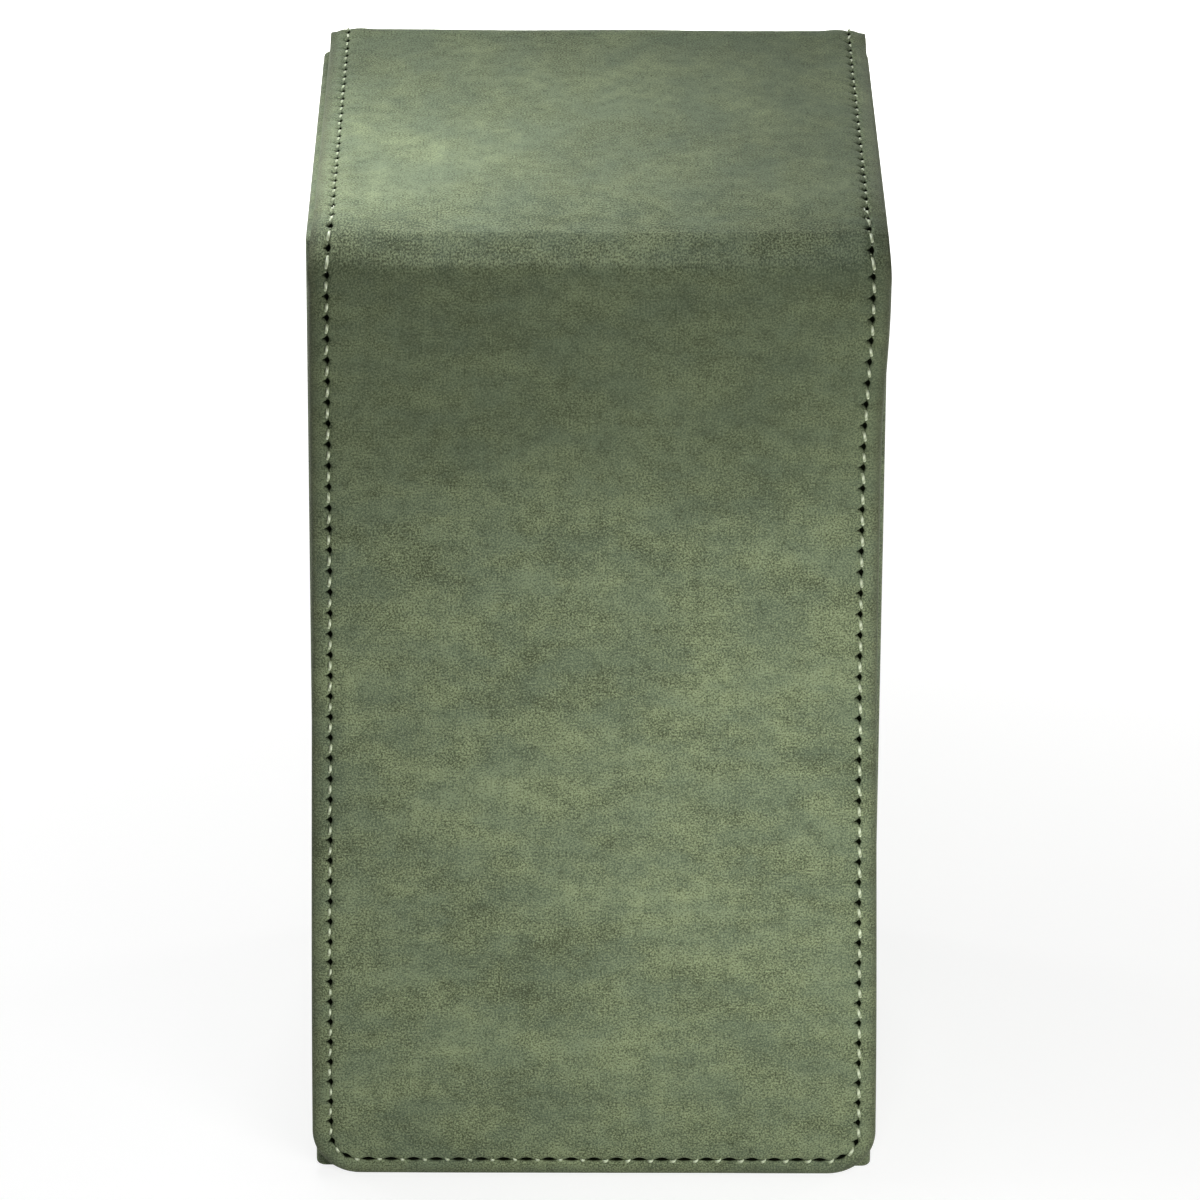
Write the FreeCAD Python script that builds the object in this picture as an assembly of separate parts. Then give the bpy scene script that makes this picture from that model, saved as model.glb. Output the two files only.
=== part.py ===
import FreeCAD, Part
import math
import os

# Card deck box: an open carton of covered boards, and one long cover strip that is glued to its rear
# wall, folds over the top as the lid and folds down over the whole front as a magnetic flap.
# Millimetres, +Z up, X across the front, the flap faces -Y, origin under the middle of the box.

# Card well
inside_width = 66.4
inside_depth = 67.0
inside_height = 124.7

# Layers of the box's walls and base
wall_leather = 0.7
wall_board = 1.4
wall_lining = 0.4
box_corner_radius = 1.2
box_edge_roll = 0.5

# Layers and outline of the cover strip
cover_leather = 0.8
cover_board = 1.5
cover_lining = 0.5
cover_side_reveal = 0.4
cover_bottom_lift = 0.4
cover_corner_radius = 6.0
cover_edge_roll = 0.6
lining_inset = 0.3

# Folds of the cover strip: outer radius, and the stretch without board on each side of the bend
fold_radius = 6.0
fold_free = 2.0

# Seam round the cover strip
seam_inset = 2.3
stitch_pitch = 2.82
stitch_length = 1.45
stitch_slant_deg = 7.0
thread_width = 0.45
thread_height = 0.2

# Closing magnets: one pair in the flap, one pair in the front wall behind it
magnet_radius = 5.0
magnet_thickness = 1.0
magnet_clearance = 0.1
magnet_height = 24.0
magnet_spread = 34.0

# Two lengths closer than this are one, a smaller radius is left out, and an edge roll takes at most
# this share of the leather's thickness
same_length = 1e-6
least_radius = 1e-3
roll_share = 0.9

# Sizes that follow from the ones above
wall = wall_leather + wall_board + wall_lining
box_width = inside_width + 2 * wall
box_depth = inside_depth + 2 * wall
box_height = inside_height + wall
board_width = box_width - 2 * wall_leather
board_depth = box_depth - 2 * wall_leather
board_top = box_height - wall_leather
board_corner_radius = max(box_corner_radius - wall_leather, 0.0)
floor_board_top = wall_leather + wall_board

cover = cover_leather + cover_board + cover_lining
cover_half = box_width / 2 - cover_side_reveal
cover_front = box_depth / 2 + cover
cover_top = box_height + cover
fold_y = cover_front - fold_radius
fold_z = cover_top - fold_radius
panel_top = fold_z - fold_free
lid_half = fold_y - fold_free
pocket_half = cover_half - cover_leather

X_AXIS = FreeCAD.Vector(1, 0, 0)
Y_AXIS = FreeCAD.Vector(0, 1, 0)
Z_AXIS = FreeCAD.Vector(0, 0, 1)
ORIGIN = FreeCAD.Vector(0, 0, 0)


def block(x_span, y_span, z_span):
    """A plain block between the two ends of each span."""
    corner = FreeCAD.Vector(x_span[0], y_span[0], z_span[0])
    sides = [span[1] - span[0] for span in (x_span, y_span, z_span)]
    return Part.makeBox(*sides, corner)


def edges_along(shape, axis):
    """The straight edges of a shape that run along an axis."""
    found = []
    for edge in shape.Edges:
        run = edge.lastVertex().Point - edge.firstVertex().Point
        if run.cross(axis).Length < same_length:
            found.append(edge)
    return found


def edges_at_height(shape, height):
    """The edges of a shape that lie in one level plane."""
    return [e for e in shape.Edges if all(abs(v.Z - height) < same_length for v in e.Vertexes)]


def upright(width, depth, z_span, radius):
    """A block centred on the Z axis with its four upright edges rounded."""
    body = block((-width / 2, width / 2), (-depth / 2, depth / 2), z_span)
    if radius < least_radius:
        return body
    return body.makeFillet(radius, edges_along(body, Z_AXIS))


def mirrored(shape):
    """The same shape on the other side of the XZ plane, from front to rear."""
    return shape.mirror(ORIGIN, Y_AXIS)


# ---- The box -----------------------------------------------------------------------------------


def box_leather():
    """Leather drawn round the four walls and turned in over the rim, open at the base and the well."""
    roll = min(box_edge_roll, roll_share * wall_leather)
    skin = upright(box_width, box_depth, (0, box_height), box_corner_radius)
    outer_edges = edges_at_height(skin, 0) + edges_at_height(skin, box_height)
    skin = skin.makeFillet(roll, outer_edges)
    core = upright(board_width, board_depth, (0, board_top), board_corner_radius)
    well = upright(inside_width, inside_depth, (0, box_height), 0)
    return skin.cut(core).cut(well)


def base_leather():
    """Flat leather panel let into the underside, inside the turned lower edge of the walls."""
    return upright(board_width, board_depth, (0, wall_leather), board_corner_radius)


def wall_core():
    """The block that the four wall boards are cut from, with their rounded outer corners."""
    return upright(board_width, board_depth, (wall_leather, board_top), board_corner_radius)


def front_board():
    """Front wall board, full width, with a blind pocket behind the leather for each magnet."""
    face = -board_depth / 2
    slab = block((-board_width, board_width), (face, face + wall_board), (0, box_height))
    board = wall_core().common(slab)
    for pocket in magnet_discs(face, 1, magnet_clearance):
        board = board.cut(pocket)
    return board


def rear_board():
    """Rear wall board, full width."""
    face = board_depth / 2
    slab = block((-board_width, board_width), (face - wall_board, face), (0, box_height))
    return wall_core().common(slab)


def side_board(side):
    """Side wall board, between the front and rear boards; side is -1 on the left, +1 on the right."""
    outer = side * board_width / 2
    inner = outer - side * wall_board
    half = board_depth / 2 - wall_board
    return block(sorted((outer, inner)), (-half, half), (wall_leather, board_top))


def base_board():
    """Board of the base, between the four wall boards."""
    half_x = board_width / 2 - wall_board
    half_y = board_depth / 2 - wall_board
    return block((-half_x, half_x), (-half_y, half_y), (wall_leather, floor_board_top))


def end_lining(side):
    """Lining of the front (-1) or rear (+1) wall, across the whole well."""
    inner = side * inside_depth / 2
    outer = inner + side * wall_lining
    half = inside_width / 2 + wall_lining
    return block((-half, half), sorted((inner, outer)), (floor_board_top, board_top))


def side_lining(side):
    """Lining of a side wall, between the front and rear linings."""
    inner = side * inside_width / 2
    outer = inner + side * wall_lining
    half = inside_depth / 2
    return block(sorted((inner, outer)), (-half, half), (floor_board_top, board_top))


def floor_lining():
    """Lining of the floor, inside the four wall linings."""
    x_span = (-inside_width / 2, inside_width / 2)
    y_span = (-inside_depth / 2, inside_depth / 2)
    return block(x_span, y_span, (floor_board_top, floor_board_top + wall_lining))


# ---- The magnets -------------------------------------------------------------------------------


def magnet_discs(face_y, inward, clearance):
    """The pair of discs that start at a face and reach one magnet's thickness along inward * Y."""
    discs = []
    for side in (-1, 1):
        centre = FreeCAD.Vector(side * magnet_spread / 2, face_y, magnet_height)
        disc = Part.makeCylinder(
            magnet_radius + clearance, magnet_thickness, centre, Y_AXIS * inward
        )
        discs.append(disc)
    return discs


def box_magnets():
    """Magnets in the front wall board, flush with its outer face."""
    return Part.makeCompound(magnet_discs(-board_depth / 2, 1, 0))


def flap_magnets():
    """Magnets in the flap board, flush with its inner face."""
    return Part.makeCompound(magnet_discs(-box_depth / 2 - cover_lining, -1, 0))


# ---- The cover strip's panels ------------------------------------------------------------------


def hanging_panel(half, bottom, radius, near_y, far_y):
    """Upright sheet in front of the box, square at the fold, rounded at its two lower corners."""
    sheet = block((-half, half), sorted((near_y, far_y)), (bottom, panel_top))
    if radius < least_radius:
        return sheet
    lower = [e for e in edges_along(sheet, Y_AXIS) if abs(e.Vertexes[0].Z - bottom) < same_length]
    return sheet.makeFillet(radius, lower)


def panel_leather(inner_depth):
    """Leather of a hanging panel with its edges turned back round the board, open at the fold."""
    outer_y = -cover_front
    inner_y = -box_depth / 2 - inner_depth
    roll = min(cover_edge_roll, roll_share * cover_leather)
    skin = hanging_panel(cover_half, cover_bottom_lift, cover_corner_radius, inner_y, outer_y)
    rim = []
    for edge in skin.Edges:
        on_face = all(abs(v.Y - outer_y) < same_length for v in edge.Vertexes)
        at_fold = all(abs(v.Z - panel_top) < same_length for v in edge.Vertexes)
        if on_face and not at_fold:
            rim.append(edge)
    return skin.makeFillet(roll, rim).cut(panel_board(inner_depth))


def panel_board(inner_depth):
    """Board of a hanging panel, inside the turned leather edges."""
    bottom = cover_bottom_lift + cover_leather
    radius = max(cover_corner_radius - cover_leather, 0.0)
    inner_y = -box_depth / 2 - inner_depth
    return hanging_panel(pocket_half, bottom, radius, inner_y, -cover_front + cover_leather)


def flap_board():
    """Board of the flap, with a blind pocket in its inner face for each magnet."""
    board = panel_board(cover_lining)
    for pocket in magnet_discs(-box_depth / 2 - cover_lining, -1, magnet_clearance):
        board = board.cut(pocket)
    return board


def flap_lining():
    """Lining of the flap, set in a little from the turned leather edge."""
    bottom = cover_bottom_lift + lining_inset
    radius = max(cover_corner_radius - lining_inset, 0.0)
    inner_y = -box_depth / 2
    return hanging_panel(cover_half - lining_inset, bottom, radius, inner_y, inner_y - cover_lining)


def strip_section(depth, centre):
    """Upright cut through the strip's leather, from its outer face inwards, edges rolled over."""
    roll = min(cover_edge_roll, roll_share * cover_leather)
    bend = roll * (1 - math.sqrt(0.5))
    top = centre.z + fold_radius
    low = top - depth
    y = centre.y
    left, right = -cover_half, cover_half

    def at(x, z):
        return FreeCAD.Vector(x, y, z)

    outline = [
        Part.makeLine(at(left, low), at(left, top - roll)),
        Part.Arc(at(left, top - roll), at(left + bend, top - bend), at(left + roll, top)).toShape(),
        Part.makeLine(at(left + roll, top), at(right - roll, top)),
        Part.Arc(at(right - roll, top), at(right - bend, top - bend), at(right, top - roll)).toShape(),
        Part.makeLine(at(right, top - roll), at(right, low)),
        Part.makeLine(at(right, low), at(left, low)),
    ]
    return Part.Face(Part.Wire(outline))


def lid_leather():
    """Leather of the lid with its two long edges turned down round the board."""
    start = FreeCAD.Vector(0, -lid_half, fold_z)
    skin = strip_section(cover_leather + cover_board, start).extrude(Y_AXIS * (2 * lid_half))
    return skin.cut(lid_board())


def lid_board():
    """Board of the lid, from fold to fold."""
    top = cover_top - cover_leather
    return block((-pocket_half, pocket_half), (-lid_half, lid_half), (top - cover_board, top))


def lid_lining():
    """Lining under the lid, which rests on the rim of the box."""
    half = cover_half - lining_inset
    return block((-half, half), (-lid_half, lid_half), (box_height, box_height + cover_lining))


# ---- The folds ---------------------------------------------------------------------------------


def bent(section, centre):
    """A section at the lid's end of the front fold, carried round the bend and along both free ends."""
    down = FreeCAD.Vector(0, 0, -fold_free)
    arc = section.revolve(centre, X_AXIS, 90)
    lid_end = section.extrude(Y_AXIS * fold_free)
    flap_section = section.copy()
    flap_section.rotate(centre, X_AXIS, 90)
    flap_end = flap_section.extrude(down)
    return arc.fuse([lid_end, flap_end]).removeSplitter()


def fold_leather():
    """Leather of the front fold: the strip's outer skin, its edges as deep as skin and lining."""
    centre = FreeCAD.Vector(0, -fold_y, fold_z)
    whole = bent(strip_section(cover_leather + cover_lining, centre), centre)
    return whole.cut(fold_lining())


def fold_lining():
    """Lining of the front fold: under the leather round the bend, then down each board's end."""
    centre = FreeCAD.Vector(0, -fold_y, fold_z)
    outer = fold_radius - cover_leather
    inner = outer - cover_lining
    corners = [(-pocket_half, inner), (pocket_half, inner), (pocket_half, outer), (-pocket_half, outer)]
    points = [FreeCAD.Vector(x, centre.y, centre.z + r) for x, r in corners]
    band = bent(Part.Face(Part.makePolygon(points + points[:1])), centre)
    across = (-pocket_half, pocket_half)
    lid_z = (cover_top - cover, cover_top - cover_leather)
    flap_y = (-cover_front + cover_leather, -cover_front + cover)
    lid_step = block(across, (-lid_half - cover_lining, -lid_half), lid_z)
    flap_step = block(across, flap_y, (panel_top, panel_top + cover_lining))
    return band.fuse([lid_step, flap_step]).removeSplitter()


# ---- The seam ----------------------------------------------------------------------------------

# Lengths along the outer face of the strip, from its rear lower edge to its front lower edge
hang_length = fold_z - cover_bottom_lift
bend_length = fold_radius * math.pi / 2
top_length = 2 * fold_y
strip_length = 2 * hang_length + 2 * bend_length + top_length

REAR_PANEL, REAR_FOLD, LID, FRONT_FOLD, FLAP = "rear_panel", "rear_fold", "lid", "front_fold", "flap"


def on_strip(along):
    """Where a length along the strip lies: its stretch, the outer face's point and the running way."""
    middle = strip_length / 2
    front = 1 if along > middle else -1
    from_middle = abs(along - middle)
    flat_end = top_length / 2
    bend_end = flat_end + bend_length
    if from_middle <= flat_end:
        turn = 0.0
        y, z = from_middle, cover_top
    elif from_middle <= bend_end:
        turn = (from_middle - flat_end) / fold_radius
        y = fold_y + fold_radius * math.sin(turn)
        z = fold_z + fold_radius * math.cos(turn)
    else:
        turn = math.pi / 2
        y, z = cover_front, fold_z - (from_middle - bend_end)
    if z < panel_top:
        stretch = FLAP if front > 0 else REAR_PANEL
    elif y < lid_half:
        stretch = LID
    else:
        stretch = FRONT_FOLD if front > 0 else REAR_FOLD
    point = FreeCAD.Vector(0, -front * y, z)
    way = FreeCAD.Vector(0, -math.cos(turn), -front * math.sin(turn))
    return stretch, point, way


def seam_spots():
    """Centres and headings of the stitches on the strip laid flat: (across, along, heading)."""
    half_x = cover_half - seam_inset
    half_s = strip_length / 2 - seam_inset
    radius = max(cover_corner_radius - seam_inset, 0.0)
    run_s = half_s - radius
    run_x = half_x - radius
    quarter = radius * math.pi / 2
    quadrant = run_s + quarter + run_x
    per_quadrant = max(round(quadrant / stitch_pitch), 1)
    spots = []
    for index in range(per_quadrant):
        distance = (index + 0.5) * quadrant / per_quadrant
        if distance < run_s:
            x, s, heading = half_x, distance, 0.0
        elif distance < run_s + quarter:
            heading = (distance - run_s) / radius
            x = run_x + radius * math.cos(heading)
            s = run_s + radius * math.sin(heading)
        else:
            x, s, heading = quadrant - distance, half_s, math.pi / 2
        for side in (-1, 1):
            for end in (-1, 1):
                spots.append((side * x, strip_length / 2 + end * s, -side * end * heading))
    return spots


def stitch(across, along, heading):
    """One visible stitch: a short bar of thread lying on the leather, slanted a little to the seam."""
    stretch, point, way = on_strip(along)
    bar = block(
        (-stitch_length / 2, stitch_length / 2),
        (-thread_width / 2, thread_width / 2),
        (0, thread_height),
    )
    up = way.cross(X_AXIS)
    turn = heading + math.radians(stitch_slant_deg)
    length_axis = way * math.cos(turn) + X_AXIS * math.sin(turn)
    width_axis = up.cross(length_axis)
    seat = point + X_AXIS * across
    rows = []
    for index in range(3):
        rows += [length_axis[index], width_axis[index], up[index], seat[index]]
    bar.Placement = FreeCAD.Placement(FreeCAD.Matrix(*rows, 0, 0, 0, 1))
    return stretch, bar


def seam():
    """All stitches of the seam, sorted by the stretch of the strip that carries them."""
    rows = {REAR_PANEL: [], REAR_FOLD: [], LID: [], FRONT_FOLD: [], FLAP: []}
    for spot in seam_spots():
        stretch, bar = stitch(*spot)
        rows[stretch].append(bar)
    return {stretch + "_stitches": Part.makeCompound(bars) for stretch, bars in rows.items()}


# ---- All nodes ---------------------------------------------------------------------------------


def all_nodes():
    """Every sub-part by name."""
    nodes = {
        "box_leather": box_leather(),
        "base_leather": base_leather(),
        "front_board": front_board(),
        "rear_board": rear_board(),
        "left_board": side_board(-1),
        "right_board": side_board(1),
        "base_board": base_board(),
        "front_lining": end_lining(-1),
        "rear_lining": end_lining(1),
        "left_lining": side_lining(-1),
        "right_lining": side_lining(1),
        "floor_lining": floor_lining(),
        "box_magnets": box_magnets(),
        "rear_panel_leather": mirrored(panel_leather(0)),
        "rear_panel_board": mirrored(panel_board(0)),
        "rear_fold_leather": mirrored(fold_leather()),
        "rear_fold_lining": mirrored(fold_lining()),
        "lid_leather": lid_leather(),
        "lid_board": lid_board(),
        "lid_lining": lid_lining(),
        "front_fold_leather": fold_leather(),
        "front_fold_lining": fold_lining(),
        "flap_leather": panel_leather(cover_lining),
        "flap_board": flap_board(),
        "flap_lining": flap_lining(),
        "flap_magnets": flap_magnets(),
    }
    nodes.update(seam())
    return nodes


os.makedirs("parts", exist_ok=True)
for name, shape in all_nodes().items():
    shape.exportStep(os.path.join("parts", name + ".step"))
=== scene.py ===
import math

import bpy
import numpy as np
from mathutils import Matrix, Vector


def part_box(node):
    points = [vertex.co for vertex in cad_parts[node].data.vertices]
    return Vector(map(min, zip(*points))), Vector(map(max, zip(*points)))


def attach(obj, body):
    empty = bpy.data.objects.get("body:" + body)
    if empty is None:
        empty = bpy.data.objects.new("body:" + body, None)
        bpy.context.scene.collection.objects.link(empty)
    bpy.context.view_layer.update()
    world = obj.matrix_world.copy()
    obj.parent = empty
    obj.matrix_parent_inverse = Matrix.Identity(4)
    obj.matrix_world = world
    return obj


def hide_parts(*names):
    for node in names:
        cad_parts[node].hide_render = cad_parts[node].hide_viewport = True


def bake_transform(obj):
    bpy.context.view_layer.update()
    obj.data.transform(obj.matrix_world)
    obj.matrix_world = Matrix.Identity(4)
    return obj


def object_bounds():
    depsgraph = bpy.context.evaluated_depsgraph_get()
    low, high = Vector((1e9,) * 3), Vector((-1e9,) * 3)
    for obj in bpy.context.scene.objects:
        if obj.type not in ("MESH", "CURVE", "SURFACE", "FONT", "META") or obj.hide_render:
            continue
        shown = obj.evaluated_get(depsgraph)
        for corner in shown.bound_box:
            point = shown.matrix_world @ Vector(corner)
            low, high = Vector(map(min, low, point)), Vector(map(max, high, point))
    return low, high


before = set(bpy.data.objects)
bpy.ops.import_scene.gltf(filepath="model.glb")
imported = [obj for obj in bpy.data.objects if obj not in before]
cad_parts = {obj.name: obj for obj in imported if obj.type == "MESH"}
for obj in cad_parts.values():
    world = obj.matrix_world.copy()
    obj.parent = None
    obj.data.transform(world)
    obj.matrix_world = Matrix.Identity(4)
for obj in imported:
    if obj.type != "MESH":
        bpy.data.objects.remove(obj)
cad_corners = [list(corner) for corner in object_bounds()]

# Card deck box: an open carton covered in leatherette, and one stitched cover strip that is glued to its
# rear wall, folds over the top as the lid and folds down the front as the flap.
# Lengths are in millimetres until a mesh, a lamp or the camera is made.

MM = 0.001
QUARTER = math.pi / 2


def corners(node):
    """Lowest and highest corner of a CAD node, in millimetres."""
    low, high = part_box(node)
    return np.array(low) / MM, np.array(high) / MM


_, lid_high = corners("lid_leather")
flap_low, flap_high = corners("flap_leather")
_, carton_high = corners("box_leather")
well_low, well_high = corners("floor_lining")
_, end_high = corners("front_lining")

# Outline and folds of the cover strip; the flap hangs a little lower than its solid
FLAP_HANG = 0.3
HALF_WIDTH = lid_high[0]
TOP = lid_high[2]
FRONT = -flap_low[1]
LID_BOARD_END = lid_high[1]
PANEL_TOP = flap_high[2]
LOWER_EDGE = flap_low[2] - FLAP_HANG
FOLD_RADIUS = 6.0
CORNER_RADIUS = 6.0
EDGE_ROLL = 0.8

# Layers of the cover strip: leather and board over the lining, leather alone in the folds. A layer changes
# its depth from a little before a board's end to a little past it.
SKIN = 2.3
SKIN_IN_FOLD = 0.8
SKIN_ON_WALL = 2.8
LINING = 0.5
LINING_INSET = 0.3
ON_BOARD, PAST_BOARD = 0.2, 1.2

# Seam: a stitch is a tube between two needle holes, and its half length is THREAD_REACH. Stitches slant, and
# bow outwards on the right. They are pulled tight on the lid and a little tighter low on the left side.
SEAM_INSET = 2.3
STITCHES_PER_QUADRANT = 69
THREAD_HALF_WIDTH = 0.2
THREAD_HALF_HEIGHT = 0.16
THREAD_REACH = 1.04
THREAD_DIVE = 1.05
RIGHT_SLANT, LEFT_SLANT = 0.2, 0.12
RIGHT_BOW = 0.14
TIGHT_ON_LID = 0.46
TIGHT_LOW_LEFT, LOW_LEFT = 0.22, 70.0
SHORTER_ON_END = 0.42
THREAD_TAPER, TIGHT_TAPER = 0.55, 0.7
FACE_LOFT, INNER_LOFT = 0.12, 0.04
# How single stitches differ: factors of their reach, slant and loft, and the spread of their place
REACH_RANGE, SLANT_RANGE, LOFT_RANGE = (0.88, 1.06), (0.5, 1.5), (0.6, 1.2)
PLACE_SPREAD = 0.03
# The channel that the inner seam lies in
CHANNEL_DEPTH, CHANNEL_WIDTH = 0.24, 0.3

# The strip laid flat: `along` runs from the middle of the lid to an end, `across` from edge to edge.
BEND_START = FRONT - FOLD_RADIUS
BEND_LENGTH = FOLD_RADIUS * QUARTER
FOLD_Z = TOP - FOLD_RADIUS
PANEL_START = BEND_START + BEND_LENGTH + FOLD_Z - PANEL_TOP
STRIP_END = BEND_START + BEND_LENGTH + FOLD_Z - LOWER_EDGE
SIDE_RUN = STRIP_END - CORNER_RADIUS
END_RUN = HALF_WIDTH - CORNER_RADIUS
SEAM_RADIUS = CORNER_RADIUS - SEAM_INSET
CORNER_RUN = SEAM_RADIUS * QUARTER
PITCH = (SIDE_RUN + CORNER_RUN + END_RUN) / STITCHES_PER_QUADRANT

# The front and rear pieces of the strip meet on the lid, this many pitches behind its middle. Each reaches a
# hair past the join, the rear one a trace lower. The stitch over the join ends at JOIN_HOLE.
JOIN = 10.5
JOIN_HOLE = 11
JOIN_OVERLAP = 0.03
JOIN_TUCK = 0.005

# The strip was cut and glued by hand: on the lid and the rear wall a little narrow and to the right. Each row
# is a smooth step towards the front: its start and end, how much wider the strip gets over it, and how far
# it moves to the right. It spreads over the fold and widens again low on the flap.
HAND_WIDER, HAND_ASIDE = -0.3, 0.25
HAND_STEPS = (
    (BEND_START + 1.0, PANEL_START, 0.65, 0.0),
    (PANEL_START + 2.0, PANEL_START + 22.0, -0.4, 0.0),
    (80.0, STRIP_END, 0.9, 0.0),
    (PANEL_START, PANEL_START + 22.0, 0.0, -0.4),
    (100.0, STRIP_END, 0.0, 0.2),
)

# Front fold, seen from the side: how far each flat lies from the fold's centre, and the turn of its normal
FOLD_FLATS = ((5.28, 0.18), (6.5, 0.9), (7.5, 1.63))
FLAT_SHARPNESS = 60
# The turned edges are stiffer: how far in, and how much of the crease they round off. Their rounder curve
# starts below the quarter circle and rises over it by this angle.
LEFT_MARGIN, LEFT_STIFFNESS = 14.0, 0.75
RIGHT_MARGIN, RIGHT_STIFFNESS = 9.0, 0.4
ROUND_START, ROUND_RISE, ROUND_BY = -0.35, 1.85, 1.3
# The rear fold puffs up by a millimetre between these angles
PUFF_TURNS = (-0.5, 0.9)
# The slack begins this far before a bend, and fades out over this length after it
SAG_LENGTH = 7.0
FRONT_FADE, REAR_FADE = 45.0, 20.0
# The underside and the lining share it between the boards, and come away from them over this length
PEEL_LENGTH = 2.5

# Long low waves in the leather
WAVE_COUNT = 14
SHORTEST_WAVE, LONGEST_WAVE = 14.0, 60.0
WAVE_HEIGHT = 0.03

# Relief beside the seam: height or depth, then distance from the strip's edge and width where it has them.
# The pad lies inside the seam, the lip outside it, both lower beside a hole by the share of their dip. The
# margin falls away towards the rolled edge, whose colour has painted shade within EDGE_SHADE_FROM of the
# edge.
PAD_HEIGHT, PAD_INSET, PAD_WIDTH, PAD_DIP = 0.15, 3.9, 1.3, 0.35
LIP_HEIGHT, LIP_INSET, LIP_WIDTH, LIP_DIP = 0.08, 1.45, 0.5, 0.5
MARGIN_FALL, MARGIN_START, MARGIN_END = 0.3, 2.2, 0.5
EDGE_SHADE_FROM = 1.5
GROOVE_DEPTH, GROOVE_PULL, GROOVE_WIDTH = 0.1, 0.06, 0.3
# A needle hole across and along the seam, narrower and longer on the lower edge. On the long sides the thread
# has pulled a shallower mark open beside it.
HOLE_DEPTH, HOLE_WIDTH, HOLE_LENGTH = 0.45, 0.38, 0.34
END_NARROWER, END_LONGER = 0.1, 0.26
MARK_SHARE, MARK_ASIDE, MARK_WIDTH, MARK_LENGTH = 0.75, 0.36, 0.3, 0.2
# Painted shadow of the thread: a dark line in the colour beside it from hole to hole
THREAD_SHADOW_SHARE, THREAD_SHADOW_ASIDE, THREAD_SHADOW_WIDTH = 0.5, 0.1, 0.16

# How much shorter the brush marks are along the strip than across it; below 1 they are longer
LID_BRUSHING, PANEL_BRUSHING = 0.75, 1.9

# Below each fold the colour carries painted shade that stands in for the fold's shading: where it starts, and
# where it ends
FOLD_SHADE_FROM = (BEND_START + 7.8, BEND_START + 9.6)
FOLD_SHADE_TO = (PANEL_START + 17.0, PANEL_START + 38.0)

# Rings of the border by their distance from the edge, and rows by their place in a pitch, closest at a hole.
# The coarser grid begins at GRID_INSET, and the thin edges under the strip have a small roll.
FACE_INSETS = (
    6.0, 5.2, 4.5, 3.95, 3.55, 3.25, 3.0, 2.82, 2.68, 2.56, 2.46, 2.38, 2.3,
    2.22, 2.14, 2.04, 1.92, 1.78, 1.6, 1.38, 1.12, 0.94,
)
FACE_STEPS = (0.0, 0.055, -0.055, 0.11, -0.11, 0.165, -0.165, 0.235, -0.235, 0.34, -0.34, 0.5)
LINING_INSETS = (0.9, 1.4, 1.75, 1.95, 2.1, 2.2, 2.3, 2.4, 2.5, 2.65, 2.85, 3.3, 4.2, 6.0)
LINING_STEPS = (0.0, 0.12, -0.12, 0.27, -0.27, 0.5)
GRID_INSET = 6.0
SMALL_ROLL = 0.2
# Rows closer than SAME_ROW are one, the grid keeps CORNER_GAP clear of the corners, and the fold has finer
# rows over FINE_REACH on either side of FINE_MIDDLE.
SAME_ROW = 1e-4
CORNER_GAP = 0.8
FINE_MIDDLE, FINE_REACH = BEND_START + 5.0, 9.0

FRONT_WAY, REAR_WAY = 1, -1
OUTER, INNER = 1, -1


def smooth(start, end, value):
    """0 before start, 1 after end, and the S curve 3t^2 - 2t^3 between them; start may be above end."""
    t = np.clip((value - start) / (end - start), 0.0, 1.0)
    return t * t * (3.0 - 2.0 * t)


def bell(value, width):
    """exp(-(value / width)^2)."""
    return np.exp(-((value / width) ** 2))


# ---- Mesh making ----


def make_piece(name, points, faces, material, sheet=None, flat_ends=0, **fields):
    """A smooth mesh object from points in millimetres. The sheet becomes a UV map in metres, and fields are
    numbers per point. The last faces, as many as flat_ends, are cut ends that meet the rest sharply."""
    used, renamed = np.unique(np.concatenate(faces), return_inverse=True)
    splits = np.cumsum([len(face) for face in faces])[:-1]
    mesh = bpy.data.meshes.new(name)
    mesh.from_pydata((points[used] * MM).tolist(), [], [part.tolist() for part in np.split(renamed, splits)])
    mesh.polygons.foreach_set("use_smooth", np.arange(len(faces)) < len(faces) - flat_ends)
    corner_points = np.zeros(len(mesh.loops), np.int32)
    mesh.loops.foreach_get("vertex_index", corner_points)
    corner_edges = np.zeros(len(mesh.loops), np.int32)
    mesh.loops.foreach_get("edge_index", corner_edges)
    cut_corners = sum(len(face) for face in faces[len(faces) - flat_ends:])
    sharp = np.zeros(len(mesh.edges), bool)
    sharp[corner_edges[len(corner_edges) - cut_corners:]] = True
    mesh.edges.foreach_set("use_edge_sharp", sharp)
    if sheet is not None:
        flat = (sheet[used] * MM)[corner_points]
        mesh.uv_layers.new(name="sheet").data.foreach_set("uv", flat.astype(np.float32).ravel())
    for field, values in fields.items():
        layer = mesh.attributes.new(field, "FLOAT", "POINT")
        layer.data.foreach_set("value", values[used].astype(np.float32))
    mesh.materials.append(material)
    mesh.validate()
    piece = bpy.data.objects.new(name, mesh)
    bpy.context.scene.collection.objects.link(piece)
    return piece


def without_repeats(quads):
    """Quads as index lists; where two neighbouring corners are one point the face is a triangle."""
    first_last = quads[:, 0] == quads[:, 3]
    middle = quads[:, 1] == quads[:, 2]
    whole = quads[~first_last & ~middle]
    return list(whole) + list(quads[first_last][:, :3]) + list(quads[middle][:, [0, 1, 3]])


def grid_quads(index):
    """Quads over a two-way grid of point numbers, row by column."""
    around = (index[:-1, :-1], index[1:, :-1], index[1:, 1:], index[:-1, 1:])
    return np.stack(around, axis=-1).reshape(-1, 4)


# ---- The cover strip ----


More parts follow.
